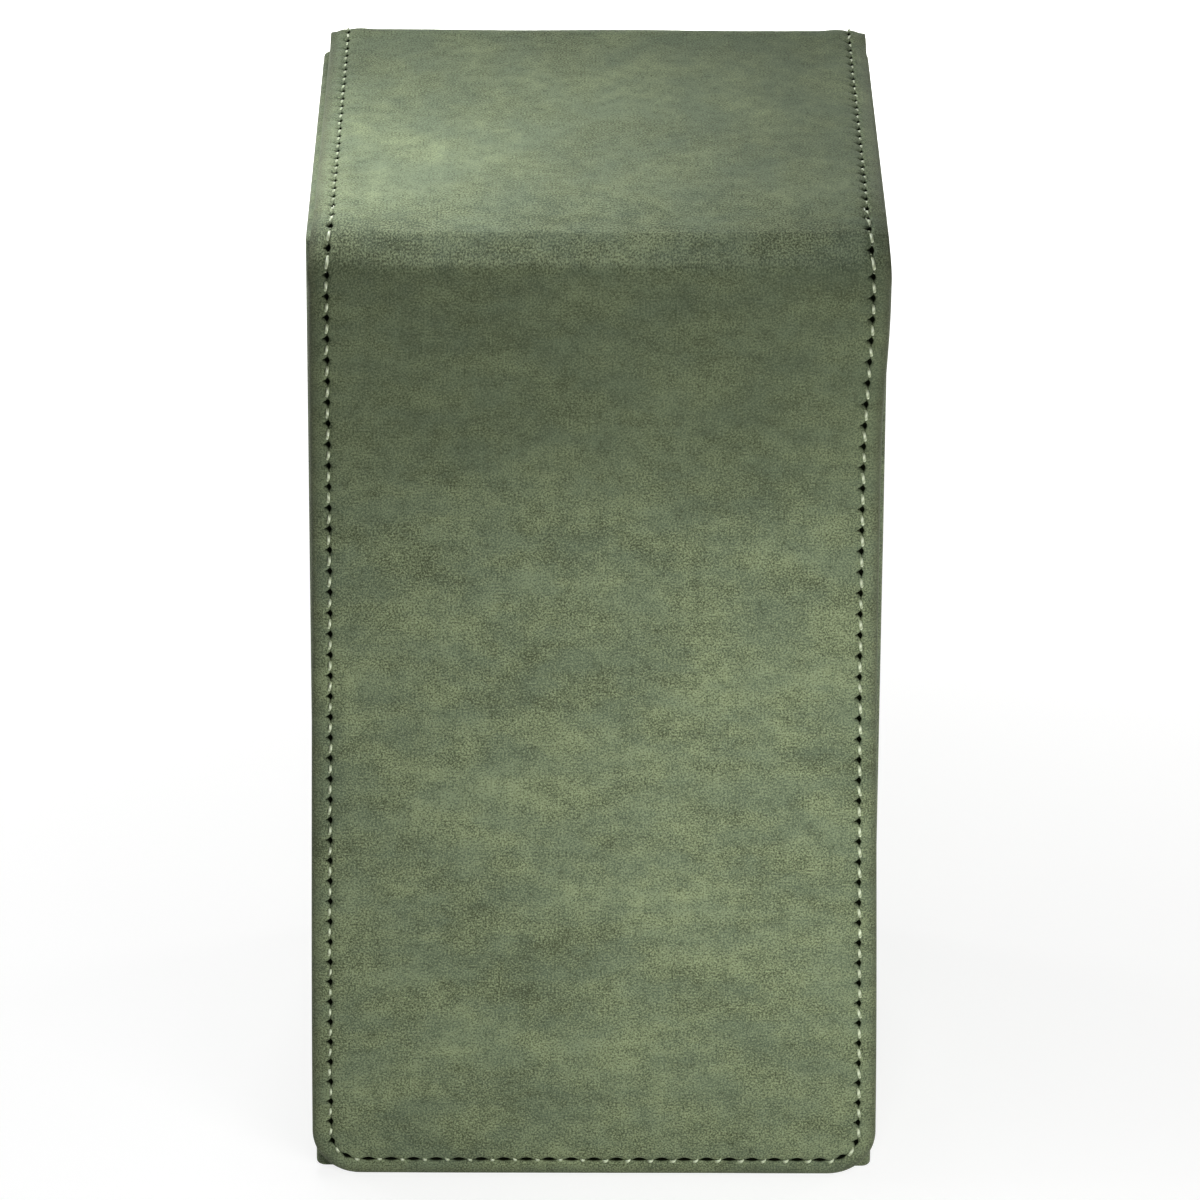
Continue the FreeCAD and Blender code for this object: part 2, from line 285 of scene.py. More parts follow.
def wrap(across, along, height, way):
    """Lays points of the flat strip over the box: level on the lid, round a quarter circle of the fold's
    radius plus the point's height, then straight down, the front or the rear way."""
    ahead = np.where(along < 0, -1.0, 1.0) * way
    run = np.abs(along)
    wider, aside = HAND_WIDER, HAND_ASIDE
    for start, end, spread, shift in HAND_STEPS:
        step = smooth(start, end, along * way)
        wider = wider + spread * step
        aside = aside + shift * step
    across = across * (1.0 + wider / HALF_WIDTH) + aside
    turn = np.clip((run - BEND_START) / FOLD_RADIUS, 0.0, QUARTER)
    reach = FOLD_RADIUS + height
    out = np.minimum(run, BEND_START) + reach * np.sin(turn)
    up = FOLD_Z + reach * np.cos(turn) - np.maximum(run - BEND_START - BEND_LENGTH, 0.0)
    return np.stack([across, -ahead * out, up], axis=-1)


random = np.random.default_rng(16)
wave_length = random.uniform(SHORTEST_WAVE, LONGEST_WAVE, WAVE_COUNT)
wave_heading = random.uniform(0.0, math.pi, WAVE_COUNT)
wave_phase = random.uniform(0.0, 2 * math.pi, WAVE_COUNT)


def fold_slack(across, along, way):
    """How far slack leather stands off the fold's quarter circle. Seen from the side the front fold follows
    three flats: the lid's sagging end, the crease's facet and the panel's bulging top. Each lies at a
    distance d from the fold's centre with its normal turned by an angle f, and the leather's distance from
    the centre at the angle t is the sum of (cos(t - f) / d)^60, to the power of -1/60. The stiff turned edges
    bend in a rounder curve, and so does the rear fold, which is a little puffed."""
    run = np.abs(along)
    front = along * way > 0
    turn = np.clip((run - BEND_START) / FOLD_RADIUS, 0.0, QUARTER)
    nearness = sum(
        np.maximum(np.cos(turn - normal) / distance, 0.0) ** FLAT_SHARPNESS for distance, normal in FOLD_FLATS
    )
    creased = nearness ** (-1.0 / FLAT_SHARPNESS) - FOLD_RADIUS
    rounded = ROUND_START + ROUND_RISE * smooth(0.0, ROUND_BY, turn)
    puffed = smooth(*PUFF_TURNS, turn)
    margin = np.where(across < 0, LEFT_MARGIN, RIGHT_MARGIN)
    at_edge = smooth(HALF_WIDTH - margin, HALF_WIDTH - 1.5, np.abs(across))
    stiff = np.where(across < 0, LEFT_STIFFNESS, RIGHT_STIFFNESS) * at_edge
    profile = np.where(front, creased + (rounded - creased) * stiff, puffed)
    sag = np.clip((run - BEND_START + SAG_LENGTH) / SAG_LENGTH, 0.0, 1.0) ** 2
    length = np.where(front, FRONT_FADE, REAR_FADE)
    fade = (1.0 - np.clip((run - BEND_START - BEND_LENGTH) / length, 0.0, 1.0)) ** 2
    return profile * sag * fade


def slow_relief(across, along, way):
    """How far the leather stands off the flat board: a sum of long low waves, and the slack at each fold."""
    forward = along * way
    heading = across[..., None] * np.cos(wave_heading) + forward[..., None] * np.sin(wave_heading)
    waves = np.sin(2 * math.pi * heading / wave_length + wave_phase) * wave_length / LONGEST_WAVE
    return WAVE_HEIGHT * waves.sum(axis=-1) + fold_slack(across, along, way)


def slack_underneath(across, along, way):
    """The slack that the leather's underside and the lining share: only in the fold, between the boards."""
    run = np.abs(along)
    off_lid = smooth(LID_BOARD_END, LID_BOARD_END + PEEL_LENGTH, run)
    off_panel = smooth(PANEL_START, PANEL_START - PEEL_LENGTH, run)
    return fold_slack(across, along, way) * (off_lid * off_panel)


def layer_depth(along, lid, fold, panel):
    """A layer's depth along the strip: one value on the lid, one in the fold and one on the panel."""
    run = np.abs(along)
    into_fold = smooth(LID_BOARD_END - ON_BOARD, LID_BOARD_END + PAST_BOARD, run)
    onto_panel = smooth(PANEL_START - PAST_BOARD, PANEL_START + ON_BOARD, run)
    return lid + (fold - lid) * into_fold + (panel - fold) * onto_panel


def border_place(t):
    """The border at the length t down the right side and round the corner: the core rectangle's point there,
    and the ways outwards from it and onwards."""
    turn = np.clip((t - SIDE_RUN) / SEAM_RADIUS, 0.0, QUARTER)
    core = np.stack([END_RUN - np.maximum(t - SIDE_RUN - CORNER_RUN, 0.0), np.minimum(t, SIDE_RUN)], axis=-1)
    outward = np.stack([np.cos(turn), np.sin(turn)], axis=-1)
    onward = np.stack([-np.sin(turn), np.cos(turn)], axis=-1)
    return core, outward, onward


def border_path(first, steps):
    """Stations round the strip's border: down the right side from `first` pitches, round the corner, along
    the lower edge and back up the left side. A station is a point of the core rectangle and the way outwards
    from it. Steps are the stations' places in a pitch, counted from its needle hole. The grid inside the
    border has a row at each hole and each half pitch, and in the fold a few more between them."""
    holes = np.arange(math.floor(first), STITCHES_PER_QUADRANT + 1)
    places = (holes[:, None] + np.array(steps)).ravel() * PITCH
    t = np.unique(np.round(np.append(places, [SIDE_RUN, SIDE_RUN + CORNER_RUN]), 6))
    t = t[(t > first * PITCH - SAME_ROW) & (t < STITCHES_PER_QUADRANT * PITCH + SAME_ROW)]
    phase = t - PITCH * np.round(t / PITCH)
    on_grid = np.isclose(2 * t / PITCH, np.round(2 * t / PITCH), atol=SAME_ROW)
    t[0] = t[0] - JOIN_OVERLAP
    core, outward, _ = border_place(t)
    in_between = np.abs(np.abs(phase) / PITCH - 0.25) < 0.15
    in_fold = np.abs(np.abs(t) - FINE_MIDDLE) < FINE_REACH
    side_rows = np.flatnonzero((on_grid | (in_fold & in_between)) & (t < SIDE_RUN - CORNER_GAP))
    corner = np.flatnonzero((t > SIDE_RUN - SAME_ROW) & (t < SIDE_RUN + CORNER_RUN + SAME_ROW))
    end_columns = np.flatnonzero(on_grid & (t > SIDE_RUN + CORNER_RUN + CORNER_GAP))
    flip = np.array([-1.0, 1.0])
    last = 2 * len(t) - 2
    return {
        "core": np.concatenate([core, core[-2::-1] * flip]),
        "outward": np.concatenate([outward, outward[-2::-1] * flip]),
        "phase": np.concatenate([phase, phase[-2::-1]]),
        "hand": np.concatenate([outward[:, 0], -outward[-2::-1, 0]]),
        "corners": (corner, last - corner[::-1]),
        "right": np.append(side_rows, corner[0]),
        "left": last - np.append(side_rows, corner[0]),
        "end": np.concatenate([corner[:1], end_columns, last - end_columns[-2::-1], [last - corner[0]]]),
    }


def padded_strip(way, first, steps, rings, sheet_turns=True):
    """A closed strip with rounded lower corners. Its border is a profile of rings, each an inset from the
    outline and a drop below the face, carried along the border path; a coarser grid fills the face and the
    underside inside the border. Gives flat points, insets, drops, phases, hands (how far the border faces
    right, from -1 to 1), sheet places and faces. The sheet turns with the profile round the edge, which
    leaves a jump in it on the underside, or else it lies flat over both sides."""
    path = border_path(first, steps)
    core, right, left, end = (path[part] for part in ("core", "right", "left", "end"))
    inset, drop = np.array(rings).T
    count = len(path["phase"])
    sheet_reach = np.append(0.0, np.cumsum(np.hypot(np.diff(inset), np.diff(drop))))
    border = core + (CORNER_RADIUS - inset)[:, None, None] * path["outward"]
    turned = core + sheet_reach[:, None, None] * path["outward"]
    sheet = turned if sheet_turns else border
    index = np.arange(len(rings) * count).reshape(len(rings), count)
    for corner in path["corners"]:
        index[0, corner] = index[0, corner[0]]
        index[-1, corner] = index[-1, corner[0]]
    flat = [border.reshape(-1, 2)]
    sheets = [sheet.reshape(-1, 2)]
    insets = [np.repeat(inset, count)]
    drops = [np.repeat(drop, count)]
    phases = [np.tile(path["phase"], len(rings))]
    hands = [np.tile(path["hand"], len(rings))]
    faces = without_repeats(grid_quads(index))

    rows = core[right][:, 1]
    columns = core[end][:, 0]
    cap = []
    for side, ring in ((1, 0), (-1, len(rings) - 1)):
        inner_x, inner_u = np.meshgrid(columns[1:-1], rows[:-1])
        start = sum(len(part) for part in flat)
        grid = np.zeros((len(rows), len(columns)), int)
        grid[:-1, 1:-1] = start + np.arange(inner_x.size).reshape(inner_x.shape)
        grid[:, 0] = index[ring, right]
        grid[:, -1] = index[ring, left]
        grid[-1] = index[ring, end]
        inner = np.stack([inner_x.ravel(), inner_u.ravel()], axis=-1)
        flat.append(inner)
        sheets.append(inner)
        edge_x = HALF_WIDTH - np.abs(inner[:, 0])
        insets.append(np.minimum(edge_x, STRIP_END - inner[:, 1]))
        drops.append(np.full(len(inner), drop[ring]))
        phases.append(np.full(len(inner), PITCH / 2))
        hands.append(np.zeros(len(inner)))
        cells = list(grid_quads(grid[:-1, 1:-1]))
        for r in range(len(rows) - 2):
            cells.append(np.append(index[ring, right[r]:right[r + 1] + 1], [grid[r + 1, 1], grid[r, 1]]))
            cells.append(np.append(index[ring, left[r + 1]:left[r] + 1], [grid[r, -2], grid[r + 1, -2]]))
        for c in range(1, len(columns) - 2):
            run = index[ring, end[c]:end[c + 1] + 1]
            cells.append(np.append(run, [grid[-2, c + 1], grid[-2, c]]))
        right_run = index[ring, right[-2]:end[1] + 1]
        left_run = index[ring, end[-2]:left[-2] + 1]
        for run, inner_point in ((right_run, grid[-2, 1]), (left_run, grid[-2, -2])):
            kept = run[np.append(True, run[1:] != run[:-1])]
            cells.append(np.append(kept, inner_point))
        faces += [cell[::side] for cell in cells]
        cap.append(grid[0])
    top_row, under_row = cap
    faces.append(np.concatenate([top_row, index[1:-1, -1], under_row[::-1], index[-2:0:-1, 0]]))
    faces = [face[::-1] for face in faces] if way == FRONT_WAY else faces
    arrays = [np.concatenate(part) for part in (flat, insets, drops, phases, hands, sheets)]
    arrays[-1] = arrays[-1] * [1.0, way]
    return *arrays, faces


def arc_rings(centre_inset, centre_drop, radius, start, end, count):
    """Ring places on an arc, angles in quarter turns: 0 is up, 1 is outwards, 2 is down."""
    turn = np.linspace(start, end, count) * QUARTER
    return [(centre_inset - radius * math.sin(a), centre_drop + radius * math.cos(a)) for a in turn]


def cover_skin(name, way, first, under_depth, material):
    """Leather of the cover strip round its board. The face carries the seam's groove and needle holes, the
    pad and the lip beside the seam, the margin that falls away to the rolled edge, and the slow relief.
    Needle, rim, painted_fold_shade and lay tell the material where it paints shade: in the needle holes and
    the thread's shadow, on the rolled edge and below the folds; and how far along its brush marks are drawn."""
    rings = [(inset, 0.0) for inset in FACE_INSETS]
    rings += arc_rings(EDGE_ROLL, -EDGE_ROLL, EDGE_ROLL, 0.0, 1.0, 8)
    rings += [(0.0, -1.2), (0.0, -1.6)]
    rings += arc_rings(SMALL_ROLL, -SKIN + SMALL_ROLL, SMALL_ROLL, 1.0, 2.0, 5)
    rings += [(2.0, -SKIN), (GRID_INSET, -SKIN)]
    flat, inset, drop, phase, hand, sheet, faces = padded_strip(way, first, FACE_STEPS, rings)
    across, along = flat.T
    beside = inset - SEAM_INSET
    at_hole = 0.5 + 0.5 * np.cos(2 * math.pi * phase / PITCH)
    on_end = 1.0 - np.abs(hand)
    hole = bell(beside, HOLE_WIDTH - END_NARROWER * on_end) * bell(phase, HOLE_LENGTH + END_LONGER * on_end)
    mark = MARK_SHARE * bell(beside - MARK_ASIDE * hand, MARK_WIDTH) * bell(phase, MARK_LENGTH)
    hole = np.maximum(hole, mark * np.abs(hand))
    pad = PAD_HEIGHT * bell(inset - PAD_INSET, PAD_WIDTH) * (1.0 - PAD_DIP * at_hole)
    lip = LIP_HEIGHT * bell(inset - LIP_INSET, LIP_WIDTH) * (1.0 - LIP_DIP * at_hole)
    margin = MARGIN_FALL * smooth(MARGIN_START, MARGIN_END, inset)
    groove = (GROOVE_DEPTH + GROOVE_PULL * at_hole) * bell(beside, GROOVE_WIDTH)
    relief = pad + lip - margin - groove - HOLE_DEPTH * hole
    share = np.clip(1.0 + drop / SKIN, 0.0, 1.0)
    depth = layer_depth(along, *under_depth)
    below = slack_underneath(across, along, way)
    height = drop * depth / SKIN + below + share * (relief + slow_relief(across, along, way) - below)
    if way == REAR_WAY:
        height = height - JOIN_TUCK * (along < JOIN * PITCH)
    points = wrap(across, along, height, way)
    # Painted shade, as a mask for the colour: the needle holes and the thread's shadow beside the thread
    line = THREAD_SHADOW_SHARE * bell(beside + THREAD_SHADOW_ASIDE * hand, THREAD_SHADOW_WIDTH)
    needle = np.clip(1.1 * hole + line, 0.0, 1.0) * share
    # Painted shade on the rolled edge, where it turns away from the light
    rim = smooth(EDGE_SHADE_FROM, 0.0, inset) * (drop > -SKIN)
    # Painted shade below each fold, as a mask for the colour
    painted_fold_shade = smooth(*FOLD_SHADE_FROM, along) * (1.0 - smooth(*FOLD_SHADE_TO, along))
    forward = along * way
    on_lid = np.clip(forward, -BEND_START, BEND_START)
    lay = (LID_BRUSHING * on_lid + PANEL_BRUSHING * (forward - on_lid)) * MM
    fields = {"needle": needle, "rim": rim, "painted_fold_shade": painted_fold_shade, "lay": lay}
    return make_piece(name, points, faces, material, sheet, flat_ends=1, **fields)


def cover_lining(name, way, first, material):
    """Lining under the strip: a thin sheet set in from the edge, with a channel for the seam's thread."""
    low = -LINING
    roll_inset = LINING_INSET + SMALL_ROLL
    rings = [(GRID_INSET, 0.0), (0.6, 0.0)]
    rings += arc_rings(roll_inset, -SMALL_ROLL, SMALL_ROLL, 0.0, 1.0, 4)
    rings += arc_rings(roll_inset, low + SMALL_ROLL, SMALL_ROLL, 1.0, 2.0, 4)
    rings += [(inset, low) for inset in LINING_INSETS]
    flat, inset, drop, phase, _, sheet, faces = padded_strip(
        way, first, LINING_STEPS, rings, sheet_turns=False
    )
    across, along = flat.T
    at_hole = 0.5 + 0.5 * np.cos(2 * math.pi * phase / PITCH)
    under = drop / low
    channel = under * (CHANNEL_DEPTH + 0.1 * at_hole) * bell(inset - SEAM_INSET, CHANNEL_WIDTH)
    depth = layer_depth(along, SKIN, SKIN_IN_FOLD, SKIN)
    height = drop - depth + channel + slack_underneath(across, along, way)
    points = wrap(across, along, height, way)
    return make_piece(name, points, faces, material, sheet, flat_ends=1)


def fold_lining(name, material):
    """Lining of the rear fold: a closed cross profile carried along the strip from the join to the wall
    panel, with finer columns at the seam's channel and finer rows past the lid's board."""
    half = HALF_WIDTH - LINING_INSET
    inset = np.concatenate([np.linspace(0.2, 1.8, 5), np.linspace(1.9, 2.7, 7), np.linspace(3.0, half, 24)])
    across = np.concatenate([inset - half, (half - inset)[-2::-1]])
    channel = CHANNEL_DEPTH * bell(np.abs(across) - (HALF_WIDTH - SEAM_INSET), CHANNEL_WIDTH)
    roll = 0.15
    edge = np.array([-roll, roll - LINING])
    loop_across = np.concatenate([across, [half, half], across[::-1], [-half, -half]])
    loop_drop = np.concatenate([np.zeros(len(across)), edge, (channel - LINING)[::-1], edge[::-1]])
    fine_start, fine_end = 31.0, PANEL_START + ON_BOARD
    along = np.append([JOIN * PITCH, LID_BOARD_END], np.linspace(fine_start, fine_end, 30))
    grid_across, grid_along = np.meshgrid(loop_across, along)
    depth = layer_depth(grid_along, SKIN, SKIN_IN_FOLD, SKIN)
    height = loop_drop - depth + slack_underneath(grid_across, grid_along, REAR_WAY)
    points = wrap(grid_across, grid_along, height, REAR_WAY).reshape(-1, 3)
    index = np.arange(len(points)).reshape(grid_across.shape)
    closed = np.concatenate([index, index[:, :1]], axis=1)
    faces = list(grid_quads(closed)[:, ::-1]) + [index[0, ::-1], index[-1]]
    sheet = np.stack([grid_across.ravel(), grid_along.ravel()], axis=-1)
    return make_piece(name, points, faces, material, sheet, flat_ends=2)


def seam(name, way, first, face, lift, material):
    """Thread of the seam, stitch by stitch: a tube that leaves one needle hole, arches over the leather and
    dives into the next. Along the stitch a runs from -1 to 1: the tube's middle line dives with the cube of
    |a|, and it tapers and bows with the square of a. Spin is the angle round the tube, and face is OUTER on
    the leather and INNER on the lining."""
    turns = np.arange(first, STITCHES_PER_QUADRANT) + 0.5
    t = np.tile(turns * PITCH, 2)
    mirror = np.repeat([1.0, -1.0], len(turns))
    on_right, on_left = np.maximum(mirror, 0.0), np.maximum(-mirror, 0.0)
    core, outward, onward = border_place(t)
    centre = core + SEAM_RADIUS * outward
    chance = np.random.default_rng(5 + abs(first))
    pull = 1.0 - TIGHT_ON_LID * smooth(BEND_START + 1.0, BEND_START - 1.0, t)
    pull = pull * (1.0 - TIGHT_LOW_LEFT * smooth(LOW_LEFT, SIDE_RUN, t) * on_left)
    reach = THREAD_REACH * chance.uniform(*REACH_RANGE, len(t)) * pull
    reach = reach * (1.0 - SHORTER_ON_END * (1.0 - outward[:, 0]))
    slant = np.where(mirror > 0, RIGHT_SLANT, LEFT_SLANT) * chance.uniform(*SLANT_RANGE, len(t))
    shift = chance.normal(0.0, PLACE_SPREAD, len(t))
    loft = lift * chance.uniform(*LOFT_RANGE, len(t)) * pull
    a = np.linspace(-1.0, 1.0, 11)
    spin = np.linspace(0.0, 2 * math.pi, 9)[:-1]
    girth = (1.0 - THREAD_TAPER * a**2) * (1.0 - TIGHT_TAPER * (1.0 - pull))[:, None]
    bow = RIGHT_BOW * on_right[:, None] * (1.0 - a**2)
    line_aside = shift[:, None] + slant[:, None] * a + bow
    line_rise = loft[:, None] - THREAD_DIVE * np.abs(a) ** 3
    aside = line_aside[..., None] + THREAD_HALF_WIDTH * girth[..., None] * np.cos(spin)
    rise = line_rise[..., None] + THREAD_HALF_HEIGHT * girth[..., None] * np.sin(spin)
    run = np.broadcast_to((a * reach[:, None])[..., None], aside.shape)
    flat = centre[:, None, None] + run[..., None] * onward[:, None, None]
    flat = flat + aside[..., None] * outward[:, None, None]
    across, along = flat[..., 0] * mirror[:, None, None], flat[..., 1]
    if face == OUTER:
        height = slow_relief(across, along, way) + rise
    else:
        lining_face = layer_depth(along, SKIN, SKIN_IN_FOLD, SKIN) + LINING
        height = slack_underneath(across, along, way) - lining_face + CHANNEL_DEPTH - rise
    points = wrap(across, along, height, way).reshape(-1, 3)
    index = np.arange(len(points)).reshape(len(t), len(a), len(spin))
    looped = np.concatenate([index, index[..., :1]], axis=-1)
    around = (looped[:, :-1, :-1], looped[:, 1:, :-1], looped[:, 1:, 1:], looped[:, :-1, 1:])
    walls = np.stack(around, axis=-1)
    inside_out = mirror * way * face > 0
    walls[inside_out] = walls[inside_out][..., ::-1]
    near_ends = np.where(inside_out[:, None], index[:, 0, ::-1], index[:, 0])
    far_ends = np.where(inside_out[:, None], index[:, -1], index[:, -1, ::-1])
    faces = list(walls.reshape(-1, 4)) + list(near_ends) + list(far_ends)
    sheet = np.stack([run, np.broadcast_to(THREAD_HALF_WIDTH * spin, run.shape)], axis=-1).reshape(-1, 2)
    return make_piece(name, points, faces, material, sheet)


# ---- The carton ----


def rounded_ring(half_x, half_y, radius):
    """Points of a rounded rectangle, counterclockwise from above: each corner, then the run to the next."""
    straight, arc = 26, 6
    turn = np.linspace(0.0, 1.0, arc + 1)[:, None] * QUARTER + np.arange(4) * QUARTER
    centre_x = np.array([1, -1, -1, 1]) * (half_x - radius)
    centre_y = np.array([1, 1, -1, -1]) * (half_y - radius)
    corner_x = (centre_x + radius * np.cos(turn)).T
    corner_y = (centre_y + radius * np.sin(turn)).T
    share = np.linspace(0.0, 1.0, straight + 1)[1:-1]
    next_x, next_y = np.roll(corner_x[:, 0], -1), np.roll(corner_y[:, 0], -1)
    run_x = corner_x[:, -1:] + (next_x - corner_x[:, -1])[:, None] * share
    run_y = corner_y[:, -1:] + (next_y - corner_y[:, -1])[:, None] * share
    return np.stack([np.hstack([corner_x, run_x]).ravel(), np.hstack([corner_y, run_y]).ravel()], axis=-1)


def carried_round(profile, half_x, half_y, radius, least_radius):
    """A profile of (offset outwards, height) carried round a rounded rectangle, as a grid of points."""
    rings = [rounded_ring(half_x + e, half_y + e, max(radius + e, least_radius)) for e, _ in profile]
    heights = np.array([z for _, z in profile])
    flat = np.stack(rings)
    return np.concatenate([flat, np.broadcast_to(heights[:, None, None], flat.shape[:2] + (1,))], axis=-1)


def arc_profile(centre_offset, centre_height, radius, start, end, count):
    """Profile places on an arc, angles in quarter turns: 0 is outwards, 1 is up, 2 is inwards."""
    turn = np.linspace(start, end, count) * QUARTER
    return [(centre_offset + radius * math.cos(a), centre_height + radius * math.sin(a)) for a in turn]


def carton_skin(name, material):
    """Leather drawn round the four walls: up the outside, over the rim and down into the well, closed behind
    against the boards. Between the foot and the rim the walls' faces draw in, with a faint ripple."""
    half_x, half_y, top = carton_high
    leather, wall = 0.7, half_x - well_high[0]
    outer_roll, inner_roll, foot_roll = 0.7, 0.45, 0.5
    corner_radius, least_radius = 1.2, 0.25
    drawn_in, ripple_height = 0.05, 0.02
    same_place = 1e-6
    profile = [(0.0, z) for z in np.linspace(0.7, top - 0.9, 60)]
    profile += arc_profile(-outer_roll, top - outer_roll, outer_roll, 0.0, 1.0, 6)
    profile += [(-1.1, top), (-1.6, top)]
    profile += arc_profile(inner_roll - wall, top - inner_roll, inner_roll, 1.0, 2.0, 5)
    profile += [(-wall, top - leather), (-leather, top - leather), (-leather, 0.0)]
    profile += arc_profile(-foot_roll, foot_roll, foot_roll, -1.0, 0.0, 5)
    grid = carried_round(profile, half_x, half_y, corner_radius, least_radius)
    offset, height = np.array(profile).T
    hollow = drawn_in * np.sin(math.pi * np.clip(height / top, 0.0, 1.0)) ** 0.5
    hollow = hollow * (np.abs(offset) < same_place)
    x, y, z = np.moveaxis(grid, -1, 0)
    ripple = ripple_height * (np.sin(x / 5.1 + z / 9.0) + np.sin(y / 4.3 - z / 7.0))
    draw = hollow[:, None] * (1.0 + ripple / drawn_in)
    facing_x = np.abs(np.abs(x) - half_x) < same_place
    facing_y = np.abs(np.abs(y) - half_y) < same_place
    x = x - np.sign(x) * draw * facing_x
    y = y - np.sign(y) * draw * facing_y
    index = np.arange(x.size).reshape(x.shape)
    index = np.concatenate([index, index[:, :1]], axis=1)
    index = np.concatenate([index, index[:1]], axis=0)
    points = np.stack([x, y, z], axis=-1).reshape(-1, 3)
    faces = list(grid_quads(index)[:, ::-1])
    return make_piece(name, points, faces, material)


def well_lining(name, material):
    """Soft lining of the well: walls and floor as one thin closed sheet, filleted where they meet, with the
    floor a little padded."""
    half_x, half_y, floor = well_high
    under, rim = well_low[2], end_high[2]
    cloth = end_high[0] - half_x
    centre = 0.6 - half_x
    fillet, padding, padded_from = 1.2, 0.25, 12.0
    corner_radius, least_radius = 0.9, 0.3
    profile = [(centre, under), (cloth, under), (cloth, rim)]
    profile += [(0.0, z) for z in np.linspace(rim, floor + 1.4, 50)]
    profile += arc_profile(-fillet, floor + fillet, fillet, 0.0, -1.0, 7)
    profile += [
        (e, floor + padding * smooth(-fillet, -padded_from, e)) for e in np.linspace(-2.0, centre, 22)
    ]
    grid = carried_round(profile, half_x, half_y, corner_radius, least_radius)
    points = grid.reshape(-1, 3)
    index = np.arange(len(points)).reshape(grid.shape[:2])
    ring = np.concatenate([index, index[:, :1]], axis=1)
    faces = list(grid_quads(ring)[:, ::-1]) + [index[0, ::-1], index[-1]]
    return make_piece(name, points, faces, material)


# ---- Materials ----


def linear(hex_colour):
    """An sRGB hex colour as linear red, green, blue and alpha."""
    coded = np.array([int(hex_colour[i:i + 2], 16) for i in (1, 3, 5)]) / 255.0
    light = np.where(coded <= 0.04045, coded / 12.92, ((coded + 0.055) / 1.055) ** 2.4)
    return (*light.tolist(), 1.0)


def add(tree, kind, inputs, output=0, **settings):
    """Adds a shader node with its settings, sets or links its inputs, and gives one of its outputs."""
    node = tree.nodes.new("ShaderNode" + kind)
    for setting, value in settings.items():
        setattr(node, setting, value)
    for socket, value in inputs.items():
        if isinstance(value, bpy.types.NodeSocket):
            tree.links.new(value, node.inputs[socket])
        else:
            node.inputs[socket].default_value = value
    return node.outputs[output] if node.outputs else None


def mix(tree, share, first, second):
    """A colour between two others: the first where the share is 0, the second where it is 1."""
    return add(tree, "Mix", {0: share, 6: first, 7: second}, output=2, data_type="RGBA")


def new_material(name):
    """An empty node material and its tree."""
    material = bpy.data.materials.new(name)
    material.use_nodes = True
    material.node_tree.nodes.clear()
    return material, material.node_tree


def per_mm(size):
    """Noise scale whose features are about this many millimetres."""
    return 1.0 / (size * MM)


def ramp(tree, value, start, end, low=0.0, high=1.0):
    """Low up to the start, high from the end on, and a straight climb between them."""
    inputs = {"Value": value, "From Min": start, "From Max": end, "To Min": low, "To Max": high}
    return add(tree, "MapRange", inputs)


def calculate(tree, operation, *values):
    """A sum of numbers and sockets."""
    return add(tree, "Math", dict(enumerate(values)), operation=operation)


def noise(tree, place, size, detail, roughness=0.5, **settings):
    """Soft noise with features about `size` millimetres wide."""
    inputs = {"Vector": place, "Scale": per_mm(size), "Detail": detail, "Roughness": roughness}
    return add(tree, "TexNoise", inputs, **settings)


def finish_surface(tree, shader):
    """Links a shader to the material's surface."""
    add(tree, "OutputMaterial", {"Surface": shader})


